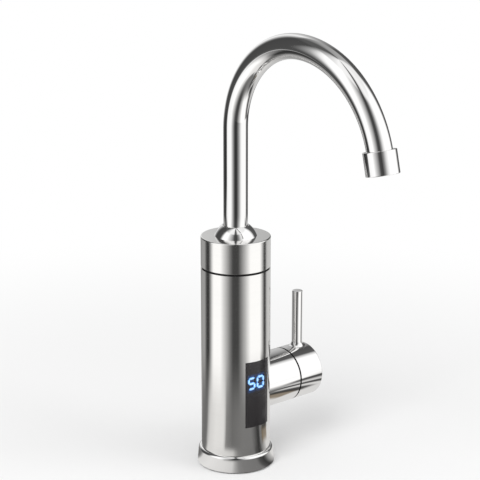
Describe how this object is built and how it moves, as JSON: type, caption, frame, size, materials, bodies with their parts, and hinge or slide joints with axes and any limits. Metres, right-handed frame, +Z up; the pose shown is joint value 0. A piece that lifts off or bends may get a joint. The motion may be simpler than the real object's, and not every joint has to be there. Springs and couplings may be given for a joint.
{
  "type": "electric instant water heater tap",
  "caption": "Worktop tap that heats water as it flows, with a cylindrical body, front display, side lever handle and swivelling gooseneck spout.",
  "frame": {"origin": "Centre of the body's foot, on the worktop's top face.", "axes": "+Z up along the body, -Y to the front where the display and the spout face, +X to the handle."},
  "size_m": [0.1159, 0.219, 0.4489],
  "materials": {
    "satin_steel": "satin, brushed round the body",
    "polished_steel": "mirror polish",
    "black_rubber": "matt",
    "red_rubber": "matt",
    "black_plastic": "matt",
    "window_plastic": "gloss, dark tint",
    "digit_plastic": "lit blue",
    "white_plastic": "matt",
    "brass": "machined",
    "plain_steel": "plain",
    "element_steel": "heat tinted",
    "copper": "drawn tube",
    "ceramic": "lapped",
    "board_green": "solder mask",
    "terminal_green": "matt",
    "relay_blue": "matt",
    "cutout_cream": "matt",
    "reed_glass": "clear"
  },
  "bodies": {
    "body": {"deck_gasket": "black_rubber", "base_flange": "polished_steel", "base_plate": "black_plastic", "base_screws": "plain_steel", "inlet_shank": "brass", "rubber_washer": "black_rubber", "steel_washer": "plain_steel", "lock_nut": "brass", "cable_gland": "black_rubber", "body_shell": "satin_steel", "seam_ring": "black_plastic", "top_cap": "satin_steel", "spout_socket": "brass", "spout_bush": "white_plastic", "spout_collar": "polished_steel", "heater_tank": "plain_steel", "tank_lid": "plain_steel", "tank_seal": "red_rubber", "tank_screws": "plain_steel", "heating_element": "element_steel", "element_nuts": "brass", "element_terminals": "plain_steel", "thermal_cutout": "cutout_cream", "temperature_sensor": "plain_steel", "control_board": "board_green", "relay": "relay_blue", "terminal_block": "terminal_green", "display_frame": "black_plastic", "display_board": "board_green", "display_module": "black_plastic", "digit_segments": "digit_plastic", "display_window": "window_plastic", "flow_switch_housing": "white_plastic", "flow_switch_cap": "white_plastic", "reed_switch": "reed_glass", "inlet_pipe": "copper", "cold_feed_pipe": "copper", "valve_block": "brass", "valve_sleeve": "polished_steel", "cartridge_body": "white_plastic", "fixed_disc": "ceramic", "port_seals": "black_rubber", "cartridge_nut": "brass", "handle_seam_ring": "black_plastic", "flow_spring": "plain_steel"},
    "handle": {"handle_cap": "polished_steel", "lever_rod": "polished_steel", "grub_screw": "plain_steel", "cartridge_stem": "brass", "moving_disc": "ceramic"},
    "spout": {"spout_pipe": "polished_steel", "spout_foot": "brass", "spout_o_rings": "black_rubber", "aerator_housing": "polished_steel", "aerator_insert": "white_plastic", "aerator_washer": "black_rubber"},
    "flow_plunger": {"flow_plunger": "white_plastic", "plunger_magnet": "plain_steel"}
  },
  "joints": [
    {"name": "spout_swivel", "type": "hinge", "parent": "body", "child": "spout", "pos_m": [0, 0, 0.195], "axis": [0, 0, 1], "continuous": true},
    {"name": "handle_turn", "type": "hinge", "parent": "body", "child": "handle", "pos_m": [0.06, 0, 0.0667], "axis": [1, 0, 0], "range_deg": [-90, 90]},
    {"name": "flow_plunger_lift", "type": "slide", "parent": "body", "child": "flow_plunger", "axis": [0, 0, 1], "range_m": [0, 0.004], "stiffness_N_per_m": 20, "springref_m": -0.002, "deforming": ["flow_spring"]}
  ]
}
